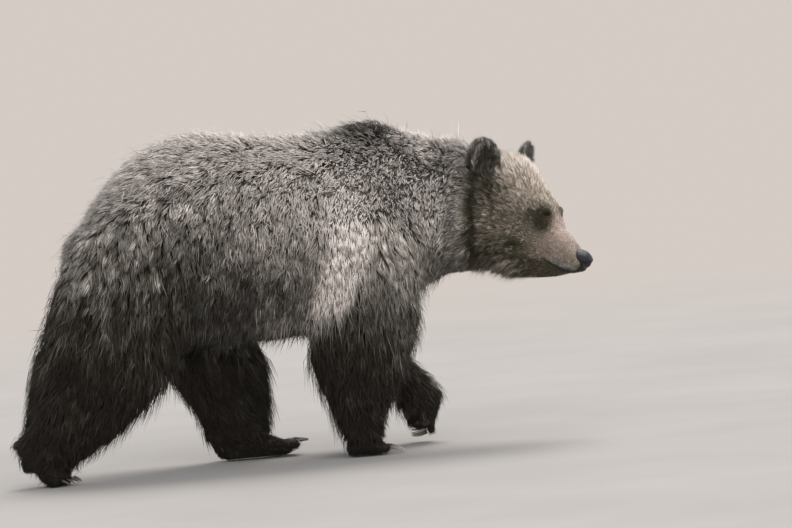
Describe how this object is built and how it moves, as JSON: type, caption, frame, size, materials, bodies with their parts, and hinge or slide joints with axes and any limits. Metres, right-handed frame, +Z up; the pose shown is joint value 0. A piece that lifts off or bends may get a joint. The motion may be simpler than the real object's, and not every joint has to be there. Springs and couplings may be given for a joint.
{
  "type": "brown bear figure",
  "caption": "Life-size still figure of a walking brown bear with a grizzled shaggy coat and shoulder hump, head turned to its right and left forepaw lifted in mid-stride.",
  "frame": {"origin": "on the floor under the middle of the whole figure's bounding box", "axes": "+X the way the body faces, +Y its left side, +Z up"},
  "size_m": [1.6048, 0.504, 0.9178],
  "materials": {
    "coat": "long brown guard hair with pale buff tips over a dark under-coat",
    "face_coat": "short tan hair, darker round the eyes and on the cheeks",
    "ear_coat": "dense dark brown hair with a pale rim",
    "leg_coat": "blackish brown hair",
    "nose": "moist, finely pebbled bare skin",
    "eye": "clear wet cornea over a dark brown iris",
    "claw": "smooth horn, worn and paler at the tips"
  },
  "bodies": {
    "root": {"trunk": "coat", "neck": "coat", "head": "face_coat", "lower_jaw": "face_coat", "nose": "nose", "ear_left": "ear_coat", "ear_right": "ear_coat", "eye_left": "eye", "eye_right": "eye", "tail": "coat", "upper_arm_left": "leg_coat", "forearm_left": "leg_coat", "forepaw_left": "leg_coat", "thigh_left": "leg_coat", "shank_left": "leg_coat", "hind_foot_left": "leg_coat", "fore_claw_left_1": "claw", "fore_claw_left_2": "claw", "fore_claw_left_3": "claw", "fore_claw_left_4": "claw", "fore_claw_left_5": "claw", "hind_claw_left_1": "claw", "hind_claw_left_2": "claw", "hind_claw_left_3": "claw", "hind_claw_left_4": "claw", "hind_claw_left_5": "claw", "upper_arm_right": "leg_coat", "forearm_right": "leg_coat", "forepaw_right": "leg_coat", "thigh_right": "leg_coat", "shank_right": "leg_coat", "hind_foot_right": "leg_coat", "fore_claw_right_1": "claw", "fore_claw_right_2": "claw", "fore_claw_right_3": "claw", "fore_claw_right_4": "claw", "fore_claw_right_5": "claw", "hind_claw_right_1": "claw", "hind_claw_right_2": "claw", "hind_claw_right_3": "claw", "hind_claw_right_4": "claw", "hind_claw_right_5": "claw"}
  },
  "joints": []
}
